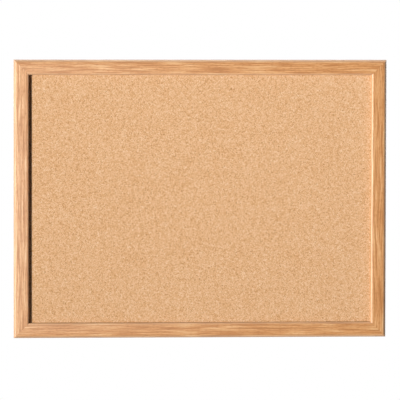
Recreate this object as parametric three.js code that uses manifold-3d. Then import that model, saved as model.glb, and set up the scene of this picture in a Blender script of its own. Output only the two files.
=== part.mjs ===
// Framed cork pin board, built up the way the real board is put together: four mitred mouldings joined with
// V-nails, a cork sheet glued to a softboard core and a hardboard back, tabs that hold the panel in the
// rebate, two ring hangers screwed to the side rails and two rubber wall bumpers.
// Millimetres, +Z up, the cork faces -Y. The origin is the middle of the top rail's back face.
import * as THREE from "three";
import { mergeVertices } from "three/addons/utils/BufferGeometryUtils.js";
import Module from "manifold-3d";

const wasm = await Module();
wasm.setup();

// Board and frame moulding
const BOARD_WIDTH = 600;
const BOARD_HEIGHT = 447;
const RAIL_WIDTH = 24.5;
const LIP_THICKNESS = 6;
const REBATE_WIDTH = 6.5;
const OUTER_ROUND = 5;
const INNER_ROUND = 3.5;
const BACK_CHAMFER = 0.8;
const MITRE_GAP = 0.3;

// Layers of the pinning panel
const CORK_THICKNESS = 2;
const CORE_THICKNESS = 5;
const BACK_THICKNESS = 2.5;
const PANEL_CLEARANCE = 0.5;
const GLUE_LINE = 0.1;

// V-nails across the mitres
const V_NAIL_LEG = 6;
const V_NAIL_GAUGE = 0.7;
const V_NAIL_HEIGHT = 9;
const V_NAIL_SINK = 0.3;
const V_NAIL_EDGE = 4;
const V_NAIL_WALL = 1.5;

// Tabs that hold the panel in the rebate
const TAB_REACH = 8;
const TAB_BITE = 7;
const TAB_WIDTH = 6;
const TAB_GAUGE = 0.6;
const TAB_TIP = 2.5;
const TAB_SINK = 1.5;
const TABS_ON_LONG_RAIL = 4;
const TABS_ON_SHORT_RAIL = 3;

// Ring hangers
const HANGER_DROP = 50;
const STRAP_WIDTH = 10;
const STRAP_GAUGE = 0.8;
const STRAP_END = 6;
const FOLD_GAP = 0.3;
const FOLD_RADIUS = 1.5;
const RING_WIRE = 2.4;
const RING_INNER_HEIGHT = 11;
const RING_CORNER = 2;
const RING_SIDE_ROOM = 0.2;
const RING_BUTT = 0.4;
const EYE_CLEARANCE = 0.25;

// Pan-head wood screws
const SCREW_DIAMETER = 3.5;
const SCREW_LENGTH = 14;
const SCREW_TIP = 3;
const HEAD_DIAMETER = 6.8;
const HEAD_HEIGHT = 2.2;
const HEAD_MARGIN = 0.8;
const RECESS_SPAN = 3.8;
const RECESS_SLOT = 0.9;
const RECESS_DEPTH = 1.2;

// Rubber wall bumpers
const BUMPER_DIAMETER = 10;
const BUMPER_FLAT = 6;
const BUMPER_INSET = 40;

// Room around a piece that is let into another or comes to rest on it, and between two fixed pieces that touch
const POCKET_CLEARANCE = 0.3;
const SEAT_GAP = 0.1;

// How finely round stretches are drawn
const ROUND_STEPS = 6;
const TURN_STEPS = 24;
const RING_STEPS = 56;
const WIRE_SIDES = 8;

// Depths: the panel's layers and the tabs behind them set how deep the moulding is
const REBATE_DEPTH =
  CORK_THICKNESS + CORE_THICKNESS + BACK_THICKNESS + TAB_GAUGE + TAB_SINK + 2 * GLUE_LINE + 2 * SEAT_GAP;
const RAIL_DEPTH = LIP_THICKNESS + REBATE_DEPTH;
const CORK_FRONT_Y = SEAT_GAP - REBATE_DEPTH;
const CORE_FRONT_Y = CORK_FRONT_Y + CORK_THICKNESS + GLUE_LINE;
const BACK_FRONT_Y = CORE_FRONT_Y + CORE_THICKNESS + GLUE_LINE;
const TAB_FRONT_Y = BACK_FRONT_Y + BACK_THICKNESS + SEAT_GAP;

// Widths: the flat strip left on a rail's back, where hangers, nails and bumpers go
const LAND = RAIL_WIDTH - REBATE_WIDTH;
const BOARD_CENTRE_Z = LAND / 2 - BOARD_HEIGHT / 2;
const V_NAIL_SPOTS = { outer: V_NAIL_EDGE, inner: LAND - V_NAIL_WALL - V_NAIL_LEG };

// Hanger strap: heights above the rail's back, and the bend that brings the upper layer down from the eye
const EYE_RADIUS = RING_WIRE / 2 + EYE_CLEARANCE;
const EYE_HEIGHT = STRAP_GAUGE + EYE_RADIUS;
const EYE_TOP = EYE_HEIGHT + EYE_RADIUS + STRAP_GAUGE;
const UPPER_LAYER = STRAP_GAUGE + FOLD_GAP;
const STRAP_TOP = UPPER_LAYER + STRAP_GAUGE;
const FOLD_SPAN = EYE_RADIUS + STRAP_GAUGE / 2 + FOLD_RADIUS;
const FOLD_SWING = Math.acos(1 - (EYE_TOP - STRAP_TOP) / FOLD_SPAN);
const FOLD_RUN = FOLD_SPAN * Math.sin(FOLD_SWING);

// The first screw sits inside the ring when that lies down, and the second just beyond it
const RING_REACH = RING_INNER_HEIGHT + RING_WIRE;
const SCREW_DROPS = [
  FOLD_RUN + HEAD_DIAMETER / 2 + HEAD_MARGIN,
  RING_REACH + RING_WIRE / 2 + HEAD_DIAMETER / 2 + HEAD_MARGIN,
];
const STRAP_LENGTH = Math.max(...SCREW_DROPS) + STRAP_END;

// The ring leans over its bar until its bow rests against the rail
const RING_LEAN = Math.asin((SEAT_GAP + EYE_HEIGHT - RING_WIRE / 2 - POCKET_CLEARANCE) / RING_REACH);

// Finishes
const finish = (color, roughness, metalness = 0) =>
  new THREE.MeshStandardMaterial({ color, roughness, metalness });
const oakFoil = () => finish("#d29c66", 0.45);
const cork = () => finish("#e0b080", 0.95);
const softboard = () => finish("#a98a63", 0.95);
const hardboard = () => finish("#7a5434", 0.7);
const blackSteel = () => finish("#3c3a38", 0.5, 1);
const zincSteel = () => finish("#c4c6c8", 0.35, 1);
const rubber = () => finish("#2f2f31", 0.8);

// A closed three.js geometry as a solid that can be cut.
function solidOf(geometry) {
  const bare = geometry.clone();
  bare.deleteAttribute("normal");
  bare.deleteAttribute("uv");
  const merged = mergeVertices(bare);
  return new wasm.Manifold(
    new wasm.Mesh({
      numProp: 3,
      vertProperties: merged.attributes.position.array,
      triVerts: new Uint32Array(merged.index.array),
    }),
  );
}

function geometryOf(solid) {
  const mesh = solid.getMesh();
  const geometry = new THREE.BufferGeometry();
  geometry.setAttribute("position", new THREE.BufferAttribute(mesh.vertProperties, 3));
  geometry.setIndex(new THREE.BufferAttribute(mesh.triVerts, 1));
  geometry.computeVertexNormals();
  return geometry;
}

// The geometry with every cutter taken out of it.
function cut(geometry, cutters) {
  return geometryOf(cutters.reduce((left, cutter) => left.subtract(solidOf(cutter)), solidOf(geometry)));
}

function extrude(shape, depth) {
  return new THREE.ExtrudeGeometry(shape, { depth, bevelEnabled: false, curveSegments: ROUND_STEPS });
}

// A box between two corners.
function block(low, high) {
  const size = high.map((value, axis) => value - low[axis]);
  const middle = high.map((value, axis) => (value + low[axis]) / 2);
  return new THREE.BoxGeometry(...size).translate(...middle);
}

// A round bar along Y between two heights.
function roundBar(radius, yLow, yHigh) {
  const bar = new THREE.CylinderGeometry(radius, radius, yHigh - yLow, TURN_STEPS);
  return bar.translate(0, (yLow + yHigh) / 2, 0);
}

// A polygon in X and Z, extruded along Y between two heights.
function slab(points, yLow, yHigh) {
  const shape = new THREE.Shape(points.map(([x, z]) => new THREE.Vector2(x, -z)));
  return extrude(shape, yHigh - yLow).rotateX(-Math.PI / 2).translate(0, yLow, 0);
}

function piece(parent, name, geometry, material) {
  const mesh = new THREE.Mesh(geometry, material);
  mesh.name = name;
  parent.add(mesh);
  return mesh;
}

// Moulding section: across from the outer edge, and depth from the back face to the front face.
function railSection() {
  const innerRound = Math.min(INNER_ROUND, LIP_THICKNESS);
  const section = new THREE.Shape();
  section.moveTo(BACK_CHAMFER, 0);
  section.lineTo(LAND, 0);
  section.lineTo(LAND, REBATE_DEPTH);
  section.lineTo(RAIL_WIDTH, REBATE_DEPTH);
  section.absarc(RAIL_WIDTH - innerRound, RAIL_DEPTH - innerRound, innerRound, 0, Math.PI / 2);
  section.absarc(OUTER_ROUND, RAIL_DEPTH - OUTER_ROUND, OUTER_ROUND, Math.PI / 2, Math.PI);
  section.lineTo(0, BACK_CHAMFER);
  return section;
}

// A length of moulding along X with both ends mitred, its outer edge at -halfSpan on Z.
function moulding(length, halfSpan) {
  const geometry = extrude(railSection(), length).translate(0, 0, -length / 2);
  const position = geometry.attributes.position;
  const setback = MITRE_GAP * Math.SQRT1_2;
  for (let i = 0; i < position.count; i++) {
    const end = Math.sign(position.getZ(i));
    position.setZ(i, end * (length / 2 - setback - position.getX(i)));
  }
  const acrossToZ = new THREE.Vector3(0, 0, 1);
  const depthToFront = new THREE.Vector3(0, -1, 0);
  const lengthToX = new THREE.Vector3(1, 0, 0);
  geometry.applyMatrix4(new THREE.Matrix4().makeBasis(acrossToZ, depthToFront, lengthToX));
  return geometry.translate(0, 0, -halfSpan);
}

// V-nail: two legs from a fold on the mitre, one into each rail. A pocket for it is wider by the room given.
function vNail(spot, room = 0) {
  const low = spot - V_NAIL_GAUGE / 2 - room;
  const high = spot + V_NAIL_GAUGE / 2 + room;
  const tip = spot + V_NAIL_LEG + room;
  const outline = [[low, low], [tip, low], [tip, high], [high, high], [high, tip], [low, tip]];
  const back = room > 0 ? room : -V_NAIL_SINK;
  return slab(outline, -V_NAIL_SINK - V_NAIL_HEIGHT - room, back);
}

// Holding tab: its point bites into the rebate wall and its blade reaches over the panel.
function tab(alongX, halfSpan, room = 0) {
  const wall = LAND - halfSpan;
  const half = TAB_WIDTH / 2 + room;
  const tip = wall - TAB_BITE - room;
  const shoulder = tip + TAB_TIP;
  const end = wall + TAB_REACH;
  const left = alongX - half;
  const right = alongX + half;
  const outline = [[alongX, tip], [right, shoulder], [right, end], [left, end], [left, shoulder]];
  return slab(outline, TAB_FRONT_Y - room, TAB_FRONT_Y + TAB_GAUGE + room);
}

function tabSpots(count, length) {
  const run = length - 2 * RAIL_WIDTH;
  return Array.from({ length: count }, (_, i) => ((i + 0.5) / count - 0.5) * run);
}

// Screw along Y, head to +Y, with the underside of its head at y = 0.
function screw() {
  const radius = SCREW_DIAMETER / 2;
  const head = HEAD_DIAMETER / 2;
  const profile = new THREE.Path();
  profile.moveTo(0, -SCREW_LENGTH);
  profile.lineTo(radius, SCREW_TIP - SCREW_LENGTH);
  profile.lineTo(radius, 0);
  profile.lineTo(head, 0);
  profile.lineTo(head, HEAD_HEIGHT / 3);
  profile.quadraticCurveTo(head, HEAD_HEIGHT, 0, HEAD_HEIGHT);
  const body = new THREE.LatheGeometry(profile.getPoints(ROUND_STEPS), TURN_STEPS);
  const floor = HEAD_HEIGHT - RECESS_DEPTH;
  const open = HEAD_HEIGHT + RECESS_DEPTH;
  const arm = RECESS_SPAN / 2;
  const slot = RECESS_SLOT / 2;
  return cut(body, [
    block([-arm, floor, -slot], [arm, open, slot]),
    block([-slot, floor, -arm], [slot, open, arm]),
  ]);
}

// Strap: one strip folded over the ring's bar, with the bar's axis at z = 0 and the rail's back at y = 0.
function strap() {
  const foldX = -FOLD_RUN;
  const foldY = EYE_HEIGHT + FOLD_SPAN * Math.cos(FOLD_SWING);
  const down = -Math.PI / 2;
  const over = Math.PI / 2 + FOLD_SWING;
  const under = FOLD_SWING - Math.PI / 2;
  const strip = new THREE.Shape();
  strip.moveTo(-STRAP_LENGTH, 0);
  strip.absarc(0, EYE_HEIGHT, EYE_RADIUS + STRAP_GAUGE, down, over);
  strip.absarc(foldX, foldY, FOLD_RADIUS - STRAP_GAUGE / 2, under, down, true);
  strip.lineTo(-STRAP_LENGTH, STRAP_TOP);
  strip.lineTo(-STRAP_LENGTH, UPPER_LAYER);
  strip.absarc(foldX, foldY, FOLD_RADIUS + STRAP_GAUGE / 2, down, under);
  strip.absarc(0, EYE_HEIGHT, EYE_RADIUS, over, down, true);
  strip.lineTo(-STRAP_LENGTH, STRAP_GAUGE);
  const folded = extrude(strip, STRAP_WIDTH).translate(0, 0, -STRAP_WIDTH / 2).rotateY(-Math.PI / 2);

  const half = STRAP_WIDTH / 2;
  const plan = new THREE.Shape();
  plan.moveTo(-half, -EYE_TOP);
  plan.lineTo(half, -EYE_TOP);
  plan.absarc(0, STRAP_LENGTH - half, half, 0, Math.PI);
  const roundEnd = extrude(plan, 2 * EYE_TOP).rotateX(-Math.PI / 2).translate(0, -EYE_TOP / 2, 0);
  const trimmed = geometryOf(solidOf(folded).intersect(solidOf(roundEnd)));

  const holeRadius = SCREW_DIAMETER / 2 + POCKET_CLEARANCE;
  return cut(trimmed, SCREW_DROPS.map((drop) => roundBar(holeRadius, -EYE_TOP, EYE_TOP).translate(0, 0, -drop)));
}

// D-shaped ring of wire in the plane y = 0. Its bar lies along X through the origin, with the wire's two ends
// butted inside the strap's eye, and its bow stands above.
function ring() {
  const half = STRAP_WIDTH / 2 + RING_SIDE_ROOM + RING_CORNER;
  const line = new THREE.Path();
  line.moveTo(RING_BUTT / 2, 0);
  line.absarc(half - RING_CORNER, RING_CORNER, RING_CORNER, -Math.PI / 2, 0);
  line.absarc(0, RING_REACH - half, half, 0, Math.PI);
  line.absarc(RING_CORNER - half, RING_CORNER, RING_CORNER, Math.PI, 1.5 * Math.PI);
  line.lineTo(-RING_BUTT / 2, 0);
  const points = line.getSpacedPoints(RING_STEPS).map(({ x, y }) => new THREE.Vector3(x, 0, y));
  const extrudePath = new THREE.CatmullRomCurve3(points);
  const section = new THREE.Shape();
  section.absarc(0, 0, RING_WIRE / 2, 0, 2 * Math.PI);
  return new THREE.ExtrudeGeometry(section, { steps: RING_STEPS, extrudePath, curveSegments: WIRE_SIDES / 2 });
}

// Domed rubber foot along Y with a flat crown, standing on y = 0 and as high as the hanger's eye.
function bumper() {
  const profile = new THREE.Path();
  profile.moveTo(0, 0);
  profile.lineTo(BUMPER_DIAMETER / 2, 0);
  profile.quadraticCurveTo(BUMPER_DIAMETER / 2, EYE_TOP, BUMPER_FLAT / 2, EYE_TOP);
  profile.lineTo(0, EYE_TOP);
  return new THREE.LatheGeometry(profile.getPoints(ROUND_STEPS), TURN_STEPS);
}

const board = new THREE.Group();
const centre = new THREE.Group();
centre.position.z = BOARD_CENTRE_Z;
board.add(centre);

// Pinning panel: cork, core and back, one size, with a little room in the rebate all round
const panelHalfWidth = BOARD_WIDTH / 2 - LAND - PANEL_CLEARANCE;
const panelHalfHeight = BOARD_HEIGHT / 2 - LAND - PANEL_CLEARANCE;
const panelLayers = [
  ["cork_sheet", CORK_FRONT_Y, CORK_THICKNESS, cork()],
  ["softboard_core", CORE_FRONT_Y, CORE_THICKNESS, softboard()],
  ["back_panel", BACK_FRONT_Y, BACK_THICKNESS, hardboard()],
];
for (const [name, frontY, thickness, material] of panelLayers) {
  const low = [-panelHalfWidth, frontY, -panelHalfHeight];
  const high = [panelHalfWidth, frontY + thickness, panelHalfHeight];
  piece(centre, name, block(low, high), material);
}

// Each side is drawn as the bottom one and turned about the board's centre. Where a hanger goes, up says which
// end of the drawn rail is the upper one.
const sides = [
  { name: "bottom", turn: 0, length: BOARD_WIDTH, span: BOARD_HEIGHT, tabs: TABS_ON_LONG_RAIL },
  { name: "left", turn: Math.PI / 2, length: BOARD_HEIGHT, span: BOARD_WIDTH, tabs: TABS_ON_SHORT_RAIL, up: -1 },
  { name: "top", turn: Math.PI, length: BOARD_WIDTH, span: BOARD_HEIGHT, tabs: TABS_ON_LONG_RAIL },
  { name: "right", turn: -Math.PI / 2, length: BOARD_HEIGHT, span: BOARD_WIDTH, tabs: TABS_ON_SHORT_RAIL, up: 1 },
];
for (const { name, turn, length, span, tabs, up } of sides) {
  const side = new THREE.Group();
  side.rotation.y = turn;
  centre.add(side);
  const halfSpan = span / 2;
  const spots = tabSpots(tabs, length);

  const pockets = spots.map((spot) => tab(spot, halfSpan, POCKET_CLEARANCE));
  for (const spot of Object.values(V_NAIL_SPOTS)) {
    const nearEnd = vNail(spot, POCKET_CLEARANCE);
    const farEnd = vNail(spot, POCKET_CLEARANCE).rotateY(-Math.PI / 2);
    pockets.push(nearEnd.translate(-length / 2, 0, -halfSpan), farEnd.translate(length / 2, 0, -halfSpan));
  }

  if (up) {
    const hanger = new THREE.Group();
    const eyeX = up * (length / 2 - HANGER_DROP);
    const landZ = LAND / 2 - halfSpan;
    hanger.position.set(eyeX, SEAT_GAP, landZ);
    hanger.rotation.y = -turn;
    side.add(hanger);
    piece(hanger, `hanger_strap_${name}`, strap(), zincSteel());
    const loop = piece(hanger, `hanger_ring_${name}`, ring(), zincSteel());
    loop.position.y = EYE_HEIGHT;
    loop.rotation.x = RING_LEAN;
    SCREW_DROPS.forEach((drop, i) => {
      const headY = STRAP_TOP + SEAT_GAP;
      piece(hanger, `hanger_screw_${name}_${i + 1}`, screw(), zincSteel()).position.set(0, headY, -drop);
      const tipY = SEAT_GAP + headY - SCREW_LENGTH;
      const pilot = roundBar(SCREW_DIAMETER / 2 + POCKET_CLEARANCE, tipY - POCKET_CLEARANCE, headY);
      pockets.push(pilot.translate(eyeX - up * drop, 0, landZ));
    });
  }

  piece(side, `${name}_rail`, cut(moulding(length, halfSpan), pockets), oakFoil());
  spots.forEach((spot, i) => piece(side, `${name}_tab_${i + 1}`, tab(spot, halfSpan), blackSteel()));
}

// Two V-nails hold each mitre, let in from the back
const corners = [
  { name: "bottom_left", turn: 0, alongX: -BOARD_WIDTH / 2, alongZ: -BOARD_HEIGHT / 2 },
  { name: "top_left", turn: Math.PI / 2, alongX: -BOARD_WIDTH / 2, alongZ: BOARD_HEIGHT / 2 },
  { name: "top_right", turn: Math.PI, alongX: BOARD_WIDTH / 2, alongZ: BOARD_HEIGHT / 2 },
  { name: "bottom_right", turn: -Math.PI / 2, alongX: BOARD_WIDTH / 2, alongZ: -BOARD_HEIGHT / 2 },
];
for (const { name, turn, alongX, alongZ } of corners) {
  const corner = new THREE.Group();
  corner.position.set(alongX, 0, alongZ);
  corner.rotation.y = turn;
  centre.add(corner);
  for (const [place, spot] of Object.entries(V_NAIL_SPOTS)) {
    piece(corner, `v_nail_${name}_${place}`, vNail(spot), blackSteel());
  }
}

// Bumpers on the bottom rail keep the board parallel to the wall, level with the hangers
for (const [name, side] of [["left", -1], ["right", 1]]) {
  const foot = piece(centre, `wall_bumper_${name}`, bumper(), rubber());
  foot.position.set(side * (BOARD_WIDTH / 2 - BUMPER_INSET), SEAT_GAP, LAND / 2 - BOARD_HEIGHT / 2);
}

export default board;
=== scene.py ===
import math

import bmesh
import bpy
from mathutils import Matrix, Vector


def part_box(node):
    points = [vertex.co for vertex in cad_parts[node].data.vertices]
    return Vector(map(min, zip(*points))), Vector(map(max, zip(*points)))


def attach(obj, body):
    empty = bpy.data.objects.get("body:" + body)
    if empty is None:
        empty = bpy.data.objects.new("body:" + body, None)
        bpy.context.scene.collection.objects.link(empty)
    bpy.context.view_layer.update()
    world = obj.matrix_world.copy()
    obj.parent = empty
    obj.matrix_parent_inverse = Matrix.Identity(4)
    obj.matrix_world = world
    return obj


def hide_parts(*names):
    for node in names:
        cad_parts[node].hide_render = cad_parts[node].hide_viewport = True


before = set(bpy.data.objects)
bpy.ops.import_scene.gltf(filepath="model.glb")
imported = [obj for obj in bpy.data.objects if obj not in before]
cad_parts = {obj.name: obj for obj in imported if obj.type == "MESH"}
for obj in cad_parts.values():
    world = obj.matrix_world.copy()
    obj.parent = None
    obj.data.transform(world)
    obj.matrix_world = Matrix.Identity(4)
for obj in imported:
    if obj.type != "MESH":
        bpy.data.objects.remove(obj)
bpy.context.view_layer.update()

scene = bpy.context.scene

# Camera: a long lens six metres in front of the board, to the left of its middle and above its top edge, so
# that the right and lower sides come out slightly shorter, as in the photograph.
MM = 0.001
LENS = 350
CAMERA_PLACE = (-437.4, -6243.9, 129)
CAMERA_TURN = (86.835, -0.118, -4.002)

camera = bpy.data.objects.new("front_camera", bpy.data.cameras.new("front_camera"))
camera.data.lens = LENS
camera.location = Vector(CAMERA_PLACE) * MM
camera.rotation_euler = [math.radians(turn) for turn in CAMERA_TURN]
scene.collection.objects.link(camera)
scene.camera = camera

# Cork sheet: ground cork bark pressed into a block with a binder and sliced into sheets 2 mm thick, then
# glued to the core. It is the face that pins go into, and it keeps the shape of its solid.
CORK_GRANULE = 1.6
CORK_CRUMB = 0.8
CORK_GRAIN = 0.3
CORK_RAGGED = 0.45
CORK_MOTTLE = 45
CORK_TONE = -0.2


def linear(code):
    """An sRGB hex code as the linear colour that shaders take."""
    channels = [int(code[i:i + 2], 16) / 255 for i in (1, 3, 5)]
    return [c / 12.92 if c <= 0.04045 else ((c + 0.055) / 1.055) ** 2.4 for c in channels] + [1]


def add(tree, kind, links=None, stops=(), **settings):
    """A new node with its settings, and with a value or another node's output on each named socket."""
    node = tree.nodes.new("ShaderNode" + kind)
    for name, value in settings.items():
        setattr(node, name, value)
    for i, (place, code) in enumerate(stops):
        stop = node.color_ramp.elements[i] if i < 2 else node.color_ramp.elements.new(place)
        stop.position = place
        stop.color = linear(code)
    for socket, value in (links or {}).items():
        if isinstance(value, bpy.types.NodeSocket):
            tree.links.new(value, node.inputs[socket])
        else:
            node.inputs[socket].default_value = value
    return node


def new_finish(name, **sockets):
    """A material with the constants of its shader set, its node tree and its shader."""
    finish = bpy.data.materials.new(name)
    finish.use_nodes = True
    shader = finish.node_tree.nodes["Principled BSDF"]
    for socket, value in sockets.items():
        shader.inputs[socket.replace("_", " ")].default_value = value
    return finish, finish.node_tree, shader


# Pressed and sliced cork: matt, pale tan granules of slightly different tone, a few dark crumbs of bark,
# and a surface pitted where the slicing blade pulled granules out.
cork, tree, shader = new_finish("agglomerated_cork_sliced", Roughness=0.9, Specular_IOR_Level=0.03)
place = add(tree, "TexCoord").outputs["Object"]
ragged = add(tree, "TexNoise", {"Vector": place, "Scale": 1 / (CORK_CRUMB * MM), "Detail": 3})
ragged = add(tree, "VectorMath", {0: ragged.outputs["Color"], 1: (0.5, 0.5, 0.5)}, operation="SUBTRACT")
ragged = add(tree, "VectorMath", {0: ragged.outputs[0], 1: [2 * CORK_RAGGED * MM] * 3, 2: place},
             operation="MULTIPLY_ADD").outputs[0]
granule = add(tree, "TexVoronoi", {"Vector": ragged, "Scale": 1 / (CORK_GRANULE * MM)})
crumb = add(tree, "TexVoronoi", {"Vector": ragged, "Scale": 1 / (CORK_CRUMB * MM)})
grain = add(tree, "TexNoise", {"Vector": place, "Scale": 1 / (CORK_GRAIN * MM), "Detail": 3})
mottle = add(tree, "TexNoise", {"Vector": place, "Scale": 1 / (CORK_MOTTLE * MM), "Detail": 2})
bark = add(tree, "MapRange", {"Value": granule.outputs["Color"], "From Min": 0.83, "From Max": 0.9,
                              "To Max": 0.2})
tone = CORK_TONE
for pattern, share in ((granule.outputs["Color"], 0.57), (crumb.outputs["Color"], 0.46),
                       (grain.outputs["Fac"], 0.33), (mottle.outputs["Fac"], 0.05), (bark.outputs[0], -1.0)):
    tone = add(tree, "Math", {0: pattern, 1: share, 2: tone}, operation="MULTIPLY_ADD").outputs[0]
shade = add(tree, "ValToRGB", {0: tone}, stops=[
    (0.08, "#a87442"), (0.3, "#d49e6a"), (0.5, "#e3b284"), (0.7, "#edc59d"), (0.92, "#f7debd")])
tree.links.new(shade.outputs[0], shader.inputs["Base Color"])
relief = add(tree, "Math", {0: granule.outputs["Distance"], 1: crumb.outputs["Distance"]}, operation="ADD")
relief = add(tree, "Math", {0: relief.outputs[0], 1: grain.outputs["Fac"]}, operation="SUBTRACT")
bump = add(tree, "Bump", {"Height": relief.outputs[0], "Strength": 0.35, "Distance": 0.15 * MM}, invert=True)
tree.links.new(bump.outputs[0], shader.inputs["Normal"])
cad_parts["cork_sheet"].material_slots[0].material = cork

# Softboard core: wood fibre felted wet and dried without pressing, 5 mm thick, soft enough to take a pin
# and springy enough to hold it. Only its cut edges can be seen, in the gap round the panel.
SOFTBOARD_FIBRE = 1.2

# Felted wood fibre: grey-brown, matt and fuzzy, with short pale and dark fibres in every direction.
softboard, tree, shader = new_finish("softboard_felted", Roughness=0.95, Specular_IOR_Level=0.1)
place = add(tree, "TexCoord").outputs["Object"]
fibre = add(tree, "TexNoise", {"Vector": place, "Scale": 1 / (SOFTBOARD_FIBRE * MM), "Detail": 4,
                               "Distortion": 1.5})
shade = add(tree, "ValToRGB", {0: fibre.outputs["Fac"]}, stops=[
    (0.3, "#8a6e4b"), (0.5, "#a98a63"), (0.7, "#c2a67f")])
tree.links.new(shade.outputs[0], shader.inputs["Base Color"])
bump = add(tree, "Bump", {"Height": fibre.outputs["Fac"], "Strength": 0.6, "Distance": 0.3 * MM})
tree.links.new(bump.outputs[0], shader.inputs["Normal"])
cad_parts["softboard_core"].material_slots[0].material = softboard

# Back panel: 2.5 mm hardboard that closes the back of the panel, with its rough side out. It is hot-pressed
# on a wire screen, which leaves its weave on that side.
SCREEN_PITCH = 1.7
WAVE_PERIOD = math.tau / 20  # length of a wave in the pattern at a scale of 1
HARDBOARD_FIBRE = 2.8
HARDBOARD_CLOUD = 60
HARDBOARD_TONE = -0.06

# Hot-pressed fibre with a screen mark: dark brown, dull, with paler fibres and a woven grid of small dents.
# The real screen is nearer 1 mm to the wire; it is drawn coarser so that it shows at this size.
hardboard, tree, shader = new_finish("hardboard_screen_pressed", Roughness=0.72, Specular_IOR_Level=0.3)
place = add(tree, "TexCoord").outputs["Object"]
waves = [
    add(tree, "TexWave", {"Vector": place, "Scale": WAVE_PERIOD / (SCREEN_PITCH * MM), "Distortion": 0.6,
                          "Detail": 1, "Detail Scale": 2.0}, bands_direction=axis)
    for axis in ("X", "Z")]
screen = add(tree, "Math", {0: waves[0].outputs["Fac"], 1: waves[1].outputs["Fac"]}, operation="MULTIPLY")
fibre = add(tree, "TexNoise", {"Vector": place, "Scale": 1 / (HARDBOARD_FIBRE * MM), "Detail": 5,
                               "Distortion": 2.0})
cloud = add(tree, "TexNoise", {"Vector": place, "Scale": 1 / (HARDBOARD_CLOUD * MM), "Detail": 2})
tone = HARDBOARD_TONE
for pattern, share in ((screen.outputs[0], 0.22), (fibre.outputs["Fac"], 0.75),
                       (cloud.outputs["Fac"], 0.23)):
    tone = add(tree, "Math", {0: pattern, 1: share, 2: tone}, operation="MULTIPLY_ADD").outputs[0]
shade = add(tree, "ValToRGB", {0: tone}, stops=[
    (0.25, "#5b3b23"), (0.5, "#7a5434"), (0.65, "#8d6642"), (0.85, "#a98256")])
tree.links.new(shade.outputs[0], shader.inputs["Base Color"])
bump = add(tree, "Bump", {"Height": tone, "Strength": 0.6, "Distance": 0.25 * MM})
tree.links.new(bump.outputs[0], shader.inputs["Normal"])
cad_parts["back_panel"].material_slots[0].material = hardboard

# Rails: four lengths of fibreboard moulding, sawn at 45 degrees and joined at the corners. The rebate behind
# holds the panel. Oak-effect foil is glued round the outer side and the front and ends at the foot of the
# inner round. The wall from there to the cork, the rebate and the back are left bare. The bare wall's darker
# colour also stands in for the shade line where the lip meets the cork, so it is partly painted shade.
RAIL_WIDTH = 24.5
RAIL_DEPTH = 18
REBATE_DEPTH = 12
REBATE_WIDTH = 6.5
LAND = RAIL_WIDTH - REBATE_WIDTH
OUTER_ROUND = 5
INNER_ROUND = 3.5
BACK_ROUND = 0.8
MITRE_GAP = 0.06
BOARD_WIDTH = 600
BOARD_HEIGHT = 447
V_NAIL_SPOTS = (4, 10.5)
V_NAIL_LEG = 6.05
V_NAIL_GAUGE = 0.8
V_NAIL_DEPTH = 9.4
V_NAIL_OVERCUT = 1
EDGE_ANGLE = 32

# Each side's turn from the place of the bottom rail, its length, and the board's size across it
SIDES = {
    "bottom": (0, BOARD_WIDTH, BOARD_HEIGHT),
    "left": (90, BOARD_HEIGHT, BOARD_WIDTH),
    "top": (180, BOARD_WIDTH, BOARD_HEIGHT),
    "right": (-90, BOARD_HEIGHT, BOARD_WIDTH),
}

# The moulding's corners, measured across the rail from its outer side and forward from its back. Then the
# places in that list of the corners that are rounded, each with its radius and its number of steps
SECTION = [(0, 0), (LAND, 0), (LAND, REBATE_DEPTH), (RAIL_WIDTH, REBATE_DEPTH), (RAIL_WIDTH, RAIL_DEPTH),
           (0, RAIL_DEPTH)]
ROUNDS = ((5, OUTER_ROUND, 14), (4, INNER_ROUND, 10), (0, BACK_ROUND, 3))

# How squarely a face has to look along the rail, backwards or inwards to be left bare; the inward wall's
# darker bare colour is partly painted shade along the cork
SAWN_LOOK, BACK_LOOK, BARE_SHADE_WALL_LOOK = 0.5, 0.9, 0.99

# Printed oak-effect foil with a satin lacquer: warm tan with darker and paler grain along each rail, that
# wanders a little, short pores, and a soft broad highlight on the rounded edges. The rounded edges also
# carry
# a painted highlight: their colour is mixed towards a pale cream. The pores are drawn wider than real ones,
# so that they show. Each layer of the grain has a length, a width and a detail.
GRAIN = {"figure": (64, 2.6, 0.5), "fibre": (36, 1.2, 2), "strand": (26, 0.5, 1), "pore": (6, 0.9, 0)}
WANDER_LONG, WANDER_WIDE, WANDER_REACH = 110, 40, 5
FOIL_TONE = -0.775
# The share of a round's half-width about its middle where the painted highlight is full, and how much pale
# cream it mixes in
PAINTED_HIGHLIGHT_CORE, PAINTED_EDGE_HIGHLIGHT = 0.3, 0.28
PRINT_STEP = 830

foil, tree, shader = new_finish("oak_foil_printed_satin", Specular_IOR_Level=0.5)
print_place = add(tree, "UVMap", uv_map="print").outputs["UV"]
wander = add(tree, "Mapping", {"Vector": print_place, "Scale": (1 / WANDER_LONG, 1 / WANDER_WIDE, 1)})
wander = add(tree, "TexNoise", {"Vector": wander.outputs[0], "Scale": 1, "Detail": 1.5},
             noise_dimensions="2D")
wander = add(tree, "Math", {0: wander.outputs["Fac"], 1: WANDER_REACH}, operation="MULTIPLY")
wander = add(tree, "CombineXYZ", {"Y": wander.outputs[0]})
grain_place = add(tree, "VectorMath", {0: print_place, 1: wander.outputs[0]}, operation="ADD").outputs[0]
grain = {}
for name, (long, wide, detail) in GRAIN.items():
    drawn = add(tree, "Mapping", {"Vector": grain_place, "Scale": (1 / long, 1 / wide, 1)})
    grain[name] = add(tree, "TexNoise", {"Vector": drawn.outputs[0], "Scale": 1, "Detail": detail},
                      noise_dimensions="2D").outputs["Fac"]
pore = add(tree, "MapRange", {"Value": grain["pore"], "From Min": 0.58, "From Max": 0.68})
tone = FOIL_TONE
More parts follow.
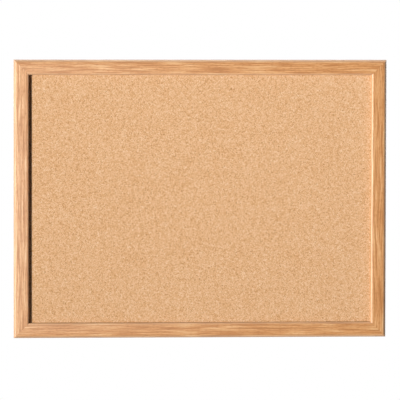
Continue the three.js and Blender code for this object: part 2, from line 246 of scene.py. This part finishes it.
for pattern, share in ((grain["figure"], 0.9), (grain["fibre"], 1.0), (grain["strand"], 0.6),
                       (pore.outputs[0], -0.16)):
    tone = add(tree, "Math", {0: pattern, 1: share, 2: tone}, operation="MULTIPLY_ADD").outputs[0]
shade = add(tree, "ValToRGB", {0: tone}, stops=[
    (0.2, "#b2753d"), (0.4, "#c98b51"), (0.55, "#d49960"), (0.7, "#dea870"), (0.88, "#eabe8b")])
# Painted highlight on the rounded edges: the foil colour is mixed towards a pale cream, most at the middle
# of each round
wrapped = add(tree, "SeparateXYZ", {0: print_place}).outputs["Y"]
edges = []
for middle, half in ((0, OUTER_ROUND), (RAIL_WIDTH, INNER_ROUND)):
    away = add(tree, "Math", {0: wrapped, 1: 1 / half, 2: -middle / half}, operation="MULTIPLY_ADD")
    edges.append(add(tree, "Math", {0: away.outputs[0]}, operation="ABSOLUTE").outputs[0])
away = add(tree, "Math", {0: edges[0], 1: edges[1]}, operation="MINIMUM")
painted_highlight = add(tree, "MapRange", {"Value": away.outputs[0], "From Min": 1.0, "From Max": PAINTED_HIGHLIGHT_CORE,
                                 "To Max": PAINTED_EDGE_HIGHLIGHT})
shade = add(tree, "Mix", {0: painted_highlight.outputs[0], 6: shade.outputs[0], 7: linear("#f6dcc0")},
            data_type="RGBA")
tree.links.new(shade.outputs[2], shader.inputs["Base Color"])
gloss = add(tree, "MapRange", {"Value": tone, "From Min": 0.2, "From Max": 0.9,
                               "To Min": 0.45, "To Max": 0.37})
tree.links.new(gloss.outputs[0], shader.inputs["Roughness"])
bump = add(tree, "Bump", {"Height": tone, "Strength": 0.25, "Distance": 0.08 * MM})
tree.links.new(bump.outputs[0], shader.inputs["Normal"])

# Bare fibreboard: pressed wood dust, mid brown, dull and even, with a fine pale and dark speckle.
FIBREBOARD_DUST = 0.45
FIBREBOARD_CLOUD = 14
FIBREBOARD_TONE = -0.2

fibreboard, tree, shader = new_finish("fibreboard_sawn", Roughness=0.88, Specular_IOR_Level=0.1)
place = add(tree, "TexCoord").outputs["Object"]
dust = add(tree, "TexNoise", {"Vector": place, "Scale": 1 / (FIBREBOARD_DUST * MM), "Detail": 4})
cloud = add(tree, "TexNoise", {"Vector": place, "Scale": 1 / (FIBREBOARD_CLOUD * MM), "Detail": 2})
tone = FIBREBOARD_TONE
for pattern, share in ((cloud.outputs["Fac"], 0.4), (dust.outputs["Fac"], 1.0)):
    tone = add(tree, "Math", {0: pattern, 1: share, 2: tone}, operation="MULTIPLY_ADD").outputs[0]
shade = add(tree, "ValToRGB", {0: tone}, stops=[(0.3, "#99744e"), (0.5, "#a9845b"), (0.7, "#b7936a")])
tree.links.new(shade.outputs[0], shader.inputs["Base Color"])
bump = add(tree, "Bump", {"Height": dust.outputs["Fac"], "Strength": 0.3, "Distance": 0.06 * MM})
tree.links.new(bump.outputs[0], shader.inputs["Normal"])


def grown_verts(grown):
    """The new vertices of an extrusion."""
    return [part for part in grown["geom"] if isinstance(part, bmesh.types.BMVert)]


def prism(bm, outline, y_low, y_high):
    """A flat outline in X and Z, extruded along Y between two heights."""
    face = bm.faces.new([bm.verts.new(Vector((x, y_low, z)) * MM) for x, z in outline])
    grown = bmesh.ops.extrude_face_region(bm, geom=[face])
    bmesh.ops.translate(bm, verts=grown_verts(grown), vec=(0, (y_high - y_low) * MM, 0))
    bmesh.ops.recalc_face_normals(bm, faces=bm.faces)


def shown(bm, name, finishes, cutter=None):
    """The mesh as an object, with the cutter taken out of it, smooth except across its edges."""
    piece = bpy.data.objects.new(name, bpy.data.meshes.new(name))
    bm.to_mesh(piece.data)
    bm.free()
    for finish in finishes:
        piece.data.materials.append(finish)
    scene.collection.objects.link(piece)
    if cutter:
        tool = bpy.data.objects.new("cutter", bpy.data.meshes.new("cutter"))
        cutter.to_mesh(tool.data)
        cutter.free()
        for finish in finishes:
            tool.data.materials.append(finish)
        scene.collection.objects.link(tool)
        cut = piece.modifiers.new("cut", "BOOLEAN")
        cut.object = tool
        cut.solver = "EXACT"
        whole = piece.evaluated_get(bpy.context.evaluated_depsgraph_get())
        carved = bpy.data.meshes.new_from_object(whole)
        piece.modifiers.clear()
        piece.data = carved
        bpy.data.objects.remove(tool)
    piece.data.shade_smooth()
    piece.data.set_sharp_from_angle(angle=math.radians(EDGE_ANGLE))
    return piece


board_middle = Vector((0, 0, LAND / 2 - BOARD_HEIGHT / 2)) * MM
for count, (side, (turn, length, span)) in enumerate(SIDES.items()):
    half_span = span / 2
    bm = bmesh.new()
    corners = [bm.verts.new(Vector((-length / 2, -forward, across - half_span)) * MM)
               for across, forward in SECTION]
    bm.faces.new(corners)
    for corner, radius, steps in ROUNDS:
        bmesh.ops.bevel(bm, geom=[corners[corner]], offset=radius * MM, segments=steps, profile=0.5,
                        affect="VERTICES", material=-1)
    grown = bmesh.ops.extrude_face_region(bm, geom=bm.faces[:])
    bmesh.ops.translate(bm, verts=grown_verts(grown), vec=(length * MM, 0, 0))
    for end in (-1, 1):
        mitre = Vector((end * (length / 2 - MITRE_GAP / math.sqrt(2)), 0, -half_span)) * MM
        cut = bmesh.ops.bisect_plane(bm, geom=bm.verts[:] + bm.edges[:] + bm.faces[:], plane_co=mitre,
                                     plane_no=(end, 0, 1), clear_outer=True)
        edges = [part for part in cut["geom_cut"] if isinstance(part, bmesh.types.BMEdge)]
        bmesh.ops.edgeloop_fill(bm, edges=edges)
    bmesh.ops.recalc_face_normals(bm, faces=bm.faces)

    # The print runs along the rail and round it, from the outer side over the front, in millimetres
    wrap = bm.loops.layers.uv.new("print")
    for face in bm.faces:
        look = face.normal
        # Inward faces take the darker bare colour, which also stands in for the shade line where the lip
        # meets the cork
        face.material_index = int(abs(look.x) > SAWN_LOOK or look.y > BACK_LOOK or look.z > BARE_SHADE_WALL_LOOK)
        for loop in face.loops:
            along, depth, across = loop.vert.co / MM
            outward = 1 if across + half_span > RAIL_WIDTH / 2 else -1
            loop[wrap].uv = (PRINT_STEP * count + along, across + half_span + outward * (RAIL_DEPTH + depth))

    cutter = bmesh.new()
    for end in (-1, 1):
        for spot in V_NAIL_SPOTS:
            low, high, tip = spot - V_NAIL_GAUGE / 2, spot + V_NAIL_GAUGE / 2, spot + V_NAIL_LEG
            outline = [(low, low), (tip, low), (tip, high), (high, high), (high, tip), (low, tip)]
            prism(cutter, [(end * (x - length / 2), z - half_span) for x, z in outline],
                  -V_NAIL_DEPTH, V_NAIL_OVERCUT)
    for face in cutter.faces:
        face.material_index = 1

    turned = Matrix.Rotation(math.radians(turn), 3, "Y")
    for mesh in (bm, cutter):
        bmesh.ops.rotate(mesh, verts=mesh.verts, cent=(0, 0, 0), matrix=turned)
        bmesh.ops.translate(mesh, verts=mesh.verts, vec=board_middle)
    rail = shown(bm, "moulding_" + side, [foil, fibreboard], cutter)
    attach(rail, "board")
    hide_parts(side + "_rail")

# V-nails: two strips of blued steel bent to a right angle and pressed into the back of each mitre, just
# below the surface, to draw the two rails together. They keep the shape of their solids.
STEEL_MOTTLE = 2.5

# Blued strip steel: near black with a blue-brown cast, dull, with small patches where the oxide is thinner.
blued, tree, shader = new_finish("strip_steel_blued", Metallic=1.0)
place = add(tree, "TexCoord").outputs["Object"]
mottle = add(tree, "TexNoise", {"Vector": place, "Scale": 1 / (STEEL_MOTTLE * MM), "Detail": 4})
shade = add(tree, "ValToRGB", {0: mottle.outputs["Fac"]}, stops=[
    (0.3, "#2b2a2c"), (0.55, "#3c3a38"), (0.75, "#5c5650")])
tree.links.new(shade.outputs[0], shader.inputs["Base Color"])
gloss = add(tree, "MapRange", {"Value": mottle.outputs["Fac"], "From Min": 0.3, "From Max": 0.7,
                               "To Min": 0.55, "To Max": 0.38})
tree.links.new(gloss.outputs[0], shader.inputs["Roughness"])
bump = add(tree, "Bump", {"Height": mottle.outputs["Fac"], "Strength": 0.15, "Distance": 0.05 * MM})
tree.links.new(bump.outputs[0], shader.inputs["Normal"])
for name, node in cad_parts.items():
    if name.startswith("v_nail"):
        node.material_slots[0].material = blued

# Tabs: flat points of blued steel, shot into the rebate wall from behind and left standing over the
# hardboard to hold the panel in. They bend up to let it out. The blade has rounded corners and eased edges.
TAB_CORNER = 1.2
TAB_EASE = 0.08
TAB_TIP = 2.5
SNAP = 0.01  # a distance below this counts as none

for name in [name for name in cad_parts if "_tab_" in name]:
    low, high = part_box(name)
    turn = SIDES[name.split("_")[0]][0]
    turned = Matrix.Rotation(math.radians(turn), 3, "Y")
    ends = [turned.transposed() @ (corner - board_middle) / MM for corner in (low, high)]
    left, right = sorted(end.x for end in ends)
    tip, reach = sorted(end.z for end in ends)
    outline = [((left + right) / 2, tip), (right, tip + TAB_TIP), (right, reach), (left, reach),
               (left, tip + TAB_TIP)]
    bm = bmesh.new()
    blade = bm.faces.new([bm.verts.new(Vector((x, low.y / MM, z)) * MM) for x, z in outline])
    bmesh.ops.bevel(bm, geom=list(blade.verts)[2:4], offset=TAB_CORNER * MM, segments=5, profile=0.5,
                    affect="VERTICES", material=-1)
    grown = bmesh.ops.extrude_face_region(bm, geom=bm.faces[:])
    bmesh.ops.translate(bm, verts=grown_verts(grown), vec=(0, high.y - low.y, 0))
    bmesh.ops.recalc_face_normals(bm, faces=bm.faces)
    rims = [edge for edge in bm.edges if abs(edge.verts[0].co.y - edge.verts[1].co.y) < SNAP * MM]
    bmesh.ops.bevel(bm, geom=rims, offset=TAB_EASE * MM, segments=2, profile=0.5,
                    affect="EDGES", material=-1)
    bmesh.ops.rotate(bm, verts=bm.verts, cent=(0, 0, 0), matrix=turned)
    bmesh.ops.translate(bm, verts=bm.verts, vec=board_middle)
    tab = shown(bm, "point_" + name, [blued])
    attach(tab, "board")
    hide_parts(name)

# Hanger straps: a strip of zinc-plated steel folded over the ring's bar, so that its two layers lie on each
# other below the eye. Two screws hold each strap to a side rail.
STRAP_WIDTH = 10
STRAP_GAUGE = 0.8
STRAP_LENGTH = 24.8
STRAP_END_FLAT = 0.2
STRAP_EASE = 0.12
EASED_ANGLE = 60
EYE_RADIUS = 1.45
FOLD_GAP = 0.3
FOLD_RADIUS = 1.5
SCREW_DROPS = (7.465, 18.8)
SCREW_HOLE = 1.9
SEAT_GAP = 0.1
EYE_HEIGHT = STRAP_GAUGE + EYE_RADIUS
STRAP_TOP = 2 * STRAP_GAUGE + FOLD_GAP
HOLE_CUT = 4 * STRAP_TOP
FOLD_SPAN = EYE_RADIUS + STRAP_GAUGE / 2 + FOLD_RADIUS
FOLD_SWING = math.acos(1 - (EYE_HEIGHT + EYE_RADIUS + STRAP_GAUGE - STRAP_TOP) / FOLD_SPAN)
HANGERS = {"left": -291, "right": 291}
EYE_DROP = -41

# Bright zinc plate: blue-white metal with a faint mottle of thicker and thinner plating and long scratches,
# which are drawn wider than real ones, so that they show.
PLATE_MOTTLE = 3.0
SCRATCH_WIDE, SCRATCH_LONG = 0.35, 12.5

zinc, tree, shader = new_finish("steel_zinc_plated", Metallic=1.0)
place = add(tree, "TexCoord").outputs["Object"]
mottle = add(tree, "TexNoise", {"Vector": place, "Scale": 1 / (PLATE_MOTTLE * MM), "Detail": 3})
scratch = add(tree, "Mapping", {"Vector": place,
                                "Scale": (1 / SCRATCH_WIDE, 1 / SCRATCH_WIDE, 1 / SCRATCH_LONG)})
scratch = add(tree, "TexNoise", {"Vector": scratch.outputs[0], "Scale": 1 / MM, "Detail": 2})
shade = add(tree, "ValToRGB", {0: mottle.outputs["Fac"]}, stops=[
    (0.3, "#b4b8bc"), (0.5, "#c6c9cb"), (0.72, "#d6d6d2")])
tree.links.new(shade.outputs[0], shader.inputs["Base Color"])
gloss = add(tree, "MapRange", {"Value": scratch.outputs["Fac"], "From Min": 0.3, "From Max": 0.7,
                               "To Min": 0.24, "To Max": 0.42})
tree.links.new(gloss.outputs[0], shader.inputs["Roughness"])
bump = add(tree, "Bump", {"Height": scratch.outputs["Fac"], "Strength": 0.12, "Distance": 0.03 * MM})
tree.links.new(bump.outputs[0], shader.inputs["Normal"])


def run_on(bm, rim, step):
    """Carries a rim of edges straight on by a step, and gives the new rim."""
    grown = bmesh.ops.extrude_edge_only(bm, edges=rim)
    fresh = set(grown_verts(grown))
    bmesh.ops.translate(bm, verts=list(fresh), vec=Vector(step) * MM)
    return [part for part in grown["geom"]
            if isinstance(part, bmesh.types.BMEdge) and fresh.issuperset(part.verts)]


def bend(bm, rim, centre, axis, angle, steps):
    """Carries a rim of edges round a centre, and gives the new rim."""
    spun = bmesh.ops.spin(bm, geom=rim, cent=Vector(centre) * MM, axis=axis, angle=angle, steps=steps)
    return [part for part in spun["geom_last"] if isinstance(part, bmesh.types.BMEdge)]


for side, across in HANGERS.items():
    half = STRAP_WIDTH / 2
    tail = [(-half, 0), (half, 0), (half, STRAP_GAUGE), (-half, STRAP_GAUGE)]
    bm = bmesh.new()
    end = bm.faces.new([bm.verts.new(Vector((x, y, -STRAP_LENGTH)) * MM) for x, y in tail])
    fold = (0, EYE_HEIGHT + FOLD_SPAN * math.cos(FOLD_SWING), -FOLD_SPAN * math.sin(FOLD_SWING))
    rim = run_on(bm, list(end.edges), (0, 0, STRAP_LENGTH))
    rim = bend(bm, rim, (0, EYE_HEIGHT, 0), (-1, 0, 0), math.pi + FOLD_SWING, 28)
    rim = bend(bm, rim, fold, (1, 0, 0), FOLD_SWING, 8)
    rim = run_on(bm, rim, (0, 0, -fold[2] - STRAP_LENGTH))
    bmesh.ops.edgeloop_fill(bm, edges=rim)
    bmesh.ops.recalc_face_normals(bm, faces=bm.faces)
    ends = [edge for edge in bm.edges
            if all(vert.co.z < (SNAP - STRAP_LENGTH) * MM for vert in edge.verts)
            and abs(edge.verts[0].co.x - edge.verts[1].co.x) < SNAP * MM]
    bmesh.ops.bevel(bm, geom=ends, offset=(half - STRAP_END_FLAT / 2) * MM, segments=10, profile=0.5,
                    affect="EDGES", material=-1)
    rims = [edge for edge in bm.edges if edge.calc_face_angle(0) > math.radians(EASED_ANGLE)]
    bmesh.ops.bevel(bm, geom=rims, offset=STRAP_EASE * MM, segments=2, profile=0.5,
                    affect="EDGES", material=-1)
    cutter = bmesh.new()
    for drop in SCREW_DROPS:
        hole = Matrix.Translation(Vector((0, 0, -drop)) * MM) @ Matrix.Rotation(math.pi / 2, 4, "X")
        bmesh.ops.create_cone(cutter, cap_ends=True, segments=32, radius1=SCREW_HOLE * MM,
                              radius2=SCREW_HOLE * MM, depth=HOLE_CUT * MM, matrix=hole)
    for mesh in (bm, cutter):
        bmesh.ops.translate(mesh, verts=mesh.verts, vec=Vector((across, SEAT_GAP, EYE_DROP)) * MM)
    strap = shown(bm, "folded_strap_" + side, [zinc], cutter)
    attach(strap, "board")
    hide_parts("hanger_strap_" + side)

# Rings: zinc-plated wire bent to a D, with its two ends butted inside the strap's eye. The straight bar
# turns in the eye, and the bow goes over a hook. At rest the ring leans against the rail, pointing up.
RING_WIRE = 2.4
RING_REACH = 13.4
RING_CORNER = 2
RING_BUTT = 0.4
RING_SIDE_ROOM = 0.2
RING_REST_GAP = 0.3
RING_STRAIGHT = STRAP_WIDTH / 2 + RING_SIDE_ROOM
RING_HALF = RING_STRAIGHT + RING_CORNER
RING_RISE = RING_REACH - RING_HALF - RING_CORNER
RING_LEAN = math.asin((SEAT_GAP + EYE_HEIGHT - RING_WIRE / 2 - RING_REST_GAP) / RING_REACH)

for side, across in HANGERS.items():
    bm = bmesh.new()
    start = Matrix.Translation(Vector((RING_BUTT / 2, 0, 0)) * MM) @ Matrix.Rotation(math.pi / 2, 4, "Y")
    bmesh.ops.create_circle(bm, cap_ends=True, segments=20, radius=RING_WIRE / 2 * MM, matrix=start)
    rim = run_on(bm, bm.edges[:], (RING_STRAIGHT - RING_BUTT / 2, 0, 0))
    rim = bend(bm, rim, (RING_STRAIGHT, 0, RING_CORNER), (0, -1, 0), math.pi / 2, 10)
    rim = run_on(bm, rim, (0, 0, RING_RISE))
    rim = bend(bm, rim, (0, 0, RING_REACH - RING_HALF), (0, -1, 0), math.pi, 40)
    rim = run_on(bm, rim, (0, 0, -RING_RISE))
    rim = bend(bm, rim, (-RING_STRAIGHT, 0, RING_CORNER), (0, -1, 0), math.pi / 2, 10)
    rim = run_on(bm, rim, (RING_STRAIGHT - RING_BUTT / 2, 0, 0))
    bmesh.ops.edgeloop_fill(bm, edges=rim)
    bmesh.ops.recalc_face_normals(bm, faces=bm.faces)
    bmesh.ops.rotate(bm, verts=bm.verts, cent=(0, 0, 0), matrix=Matrix.Rotation(RING_LEAN, 3, "X"))
    bmesh.ops.translate(bm, verts=bm.verts, vec=Vector((across, SEAT_GAP + EYE_HEIGHT, EYE_DROP)) * MM)
    ring = shown(bm, "wire_ring_" + side, [zinc])
    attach(ring, side + "_ring")
    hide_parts("hanger_ring_" + side)

# Screws: zinc-plated pan-head wood screws with a cross recess, two through each strap into the side rail.
# Their threads are buried in the rail and left off.
SCREW_RADIUS = 1.75
SCREW_LENGTH = 14
SCREW_TIP = 3
HEAD_RADIUS = 3.4
HEAD_HEIGHT = 2.2
HEAD_ROUND = 1.35
RECESS_ARM = 1.9
RECESS_SLOT = 0.45
RECESS_DEPTH = 1.2
RECESS_OVERCUT = 0.44
RECESS_TAPER = 0.6


def lathe(outline, steps, rounding, round_steps):
    """A profile of radii and heights turned round the Y axis, with its upper rim rounded."""
    bm = bmesh.new()
    profile = [bm.verts.new(Vector((radius, y, 0)) * MM) for radius, y in outline]
    edges = [bm.edges.new(pair) for pair in zip(profile, profile[1:])]
    bmesh.ops.spin(bm, geom=edges, cent=(0, 0, 0), axis=(0, 1, 0), angle=math.tau, steps=steps,
                   use_merge=True)
    bmesh.ops.remove_doubles(bm, verts=bm.verts, dist=SNAP * MM)
    bmesh.ops.recalc_face_normals(bm, faces=bm.faces)
    radius, height = outline[-2]
    rim = [edge for edge in bm.edges
           if all(vert.co.y > (height - SNAP) * MM and vert.co.xz.length > (radius - SNAP) * MM
                  for vert in edge.verts)]
    bmesh.ops.bevel(bm, geom=rim, offset=rounding * MM, segments=round_steps, profile=0.5,
                    affect="EDGES", material=-1)
    return bm


for side, across in HANGERS.items():
    for count, drop in enumerate(SCREW_DROPS, 1):
        outline = [(0, -SCREW_LENGTH), (SCREW_RADIUS, SCREW_TIP - SCREW_LENGTH), (SCREW_RADIUS, 0),
                   (HEAD_RADIUS, 0), (HEAD_RADIUS, HEAD_HEIGHT), (0, HEAD_HEIGHT)]
        bm = lathe(outline, steps=40, rounding=HEAD_ROUND, round_steps=7)

        cutter = bmesh.new()
        lid = Matrix.Translation((0, (HEAD_HEIGHT + RECESS_OVERCUT) * MM, 0))
        lid = lid @ Matrix.Rotation(-math.pi / 2, 4, "X")
        bmesh.ops.create_grid(cutter, x_segments=1, y_segments=1, size=RECESS_SLOT * MM, matrix=lid)
        for edge in cutter.edges[:]:
            outward = (edge.verts[0].co + edge.verts[1].co) / 2
            outward.y = 0
            grown = bmesh.ops.extrude_edge_only(cutter, edges=[edge])
            bmesh.ops.translate(cutter, verts=grown_verts(grown),
                                vec=outward.normalized() * (RECESS_ARM - RECESS_SLOT) * MM)
        grown = bmesh.ops.extrude_face_region(cutter, geom=cutter.faces[:])
        bottom = grown_verts(grown)
        bmesh.ops.translate(cutter, verts=bottom, vec=(0, -(RECESS_DEPTH + RECESS_OVERCUT) * MM, 0))
        bmesh.ops.scale(cutter, verts=bottom, vec=(RECESS_TAPER, 1, RECESS_TAPER))
        bmesh.ops.recalc_face_normals(cutter, faces=cutter.faces)
        for mesh in (bm, cutter):
            bmesh.ops.translate(mesh, verts=mesh.verts,
                                vec=Vector((across, 2 * SEAT_GAP + STRAP_TOP, EYE_DROP - drop)) * MM)
        screw = shown(bm, f"pan_screw_{side}_{count}", [zinc], cutter)
        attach(screw, "board")
        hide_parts(f"hanger_screw_{side}_{count}")

# Wall bumpers: soft black rubber feet with a flat crown, stuck to the back of the bottom rail. They keep the
# board level with its hangers and off the wallpaper.
BUMPER_RADIUS = 5
BUMPER_HEIGHT = 4.5
BUMPER_ROUND = 2.0
BUMPERS = {"left": -260, "right": 260}
BUMPER_DROP = -429

# Moulded rubber: off-black, matt, with a fine dull bloom and the faint pitting of its mould, which is drawn
# coarser than the real one, so that it shows.
RUBBER_PIT = 0.5

rubber, tree, shader = new_finish("rubber_moulded", Specular_IOR_Level=0.4)
place = add(tree, "TexCoord").outputs["Object"]
pit = add(tree, "TexNoise", {"Vector": place, "Scale": 1 / (RUBBER_PIT * MM), "Detail": 3})
shade = add(tree, "ValToRGB", {0: pit.outputs["Fac"]}, stops=[
    (0.3, "#262628"), (0.55, "#303033"), (0.8, "#454548")])
tree.links.new(shade.outputs[0], shader.inputs["Base Color"])
gloss = add(tree, "MapRange", {"Value": pit.outputs["Fac"], "From Min": 0.3, "From Max": 0.7,
                               "To Min": 0.7, "To Max": 0.85})
tree.links.new(gloss.outputs[0], shader.inputs["Roughness"])
bump = add(tree, "Bump", {"Height": pit.outputs["Fac"], "Strength": 0.25, "Distance": 0.06 * MM})
tree.links.new(bump.outputs[0], shader.inputs["Normal"])

for side, across in BUMPERS.items():
    outline = [(0, 0), (BUMPER_RADIUS, 0), (BUMPER_RADIUS, BUMPER_HEIGHT), (0, BUMPER_HEIGHT)]
    bm = lathe(outline, steps=48, rounding=BUMPER_ROUND, round_steps=8)
    bmesh.ops.translate(bm, verts=bm.verts, vec=Vector((across, SEAT_GAP, BUMPER_DROP)) * MM)
    bumper = shown(bm, "rubber_foot_" + side, [rubber])
    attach(bumper, "board")
    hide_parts("wall_bumper_" + side)

# Studio: a pale floor half a metre below the hung board and white all round. The key lamp stands far off to
# the front left and is aimed past the board, so that its light falls off a little towards the bottom. Weaker
# lamps light the top, the right side and the back. Shiny pieces mirror card and panel in place of the key.
AMBIENT = 0.006
KEY_SPREAD = 31
MIRRORED = ("card", "panel")

# Each lamp's place, how far right of and above the board's middle it is aimed, its size and its watts
LAMPS = {
    "key": ((-11980, -10600, -100), (1300, 1200), 2780, 142.5),
    "top": ((0, 1000, 2200), (0, 0), 1600, 30),
    "right": ((3000, 1500, 300), (0, 0), 1200, 36),
    "back": ((-1800, 2500, 900), (0, 0), 1500, 75),
    "card": ((-400, -1800, -290), (-400, -75), 300, 13.5),
    "panel": ((-1950, -1650, -214), (0, 0), 2700, 108),
}


def looked_at(tree):
    """1 for rays from the camera, in reflections and through clear pieces, and 0 for light on the board."""
    path = add(tree, "LightPath")
    seen = path.outputs["Is Camera Ray"]
    for ray in ("Is Glossy Ray", "Is Transmission Ray"):
        seen = add(tree, "Math", {0: seen, 1: path.outputs[ray]}, operation="MAXIMUM").outputs[0]
    return seen


scene.view_settings.view_transform = "Standard"
for name, (spot, (across, rise), size, watts) in LAMPS.items():
    lamp = bpy.data.objects.new(name + "_lamp", bpy.data.lights.new(name + "_lamp", "AREA"))
    lamp.data.shape = "DISK"
    lamp.data.size = size * MM
    lamp.data.energy = watts
    lamp.location = Vector(spot) * MM
    aim = board_middle + Vector((across, 0, rise)) * MM - lamp.location
    lamp.rotation_euler = aim.to_track_quat("-Z", "Y").to_euler()
    lamp.visible_diffuse = name not in MIRRORED
    lamp.visible_glossy = name != "key"
    lamp.visible_camera = False
    scene.collection.objects.link(lamp)
bpy.data.lights["key_lamp"].spread = math.radians(KEY_SPREAD)

scene.world = bpy.data.worlds.new("white_studio")
scene.world.use_nodes = True
tree = scene.world.node_tree
level = add(tree, "Math", {0: looked_at(tree), 1: 1 - AMBIENT, 2: AMBIENT}, operation="MULTIPLY_ADD")
backdrop = tree.nodes["Background"]
backdrop.inputs["Color"].default_value = linear("#ffffff")
tree.links.new(level.outputs[0], backdrop.inputs["Strength"])

# Painted floor: warm grey and matt, faintly uneven. A glow that lights nothing shows it pale, to the camera
# and in reflections, and it fades to white towards its edge, like a paper sweep.
FLOOR_DROP = -1000
FLOOR_HALF = 1600
FLOOR_PLAIN = 500
FLOOR_GLOW = 0.74
FLOOR_CLOUD = 300

paint, tree, shader = new_finish("floor_painted_matt", Roughness=0.8)
place = add(tree, "TexCoord").outputs["Object"]
cloud = add(tree, "TexNoise", {"Vector": place, "Scale": 1 / (FLOOR_CLOUD * MM), "Detail": 2})
shade = add(tree, "ValToRGB", {0: cloud.outputs["Fac"]}, stops=[(0.3, "#746e67"), (0.7, "#7d7770")])
tree.links.new(shade.outputs[0], shader.inputs["Base Color"])
away = add(tree, "VectorMath", {0: place, 1: (0, 0, FLOOR_DROP * MM)}, operation="DISTANCE")
fade = add(tree, "MapRange", {"Value": away.outputs["Value"], "From Min": FLOOR_PLAIN * MM,
                              "From Max": FLOOR_HALF * MM, "To Min": FLOOR_GLOW})
glow = add(tree, "Math", {0: looked_at(tree), 1: fade.outputs[0]}, operation="MULTIPLY")
shader.inputs["Emission Color"].default_value = linear("#ffffff")
tree.links.new(glow.outputs[0], shader.inputs["Emission Strength"])
bm = bmesh.new()
bmesh.ops.create_grid(bm, x_segments=1, y_segments=1, size=FLOOR_HALF * MM,
                      matrix=Matrix.Translation(Vector((0, 0, FLOOR_DROP)) * MM))
floor = shown(bm, "floor", [paint])
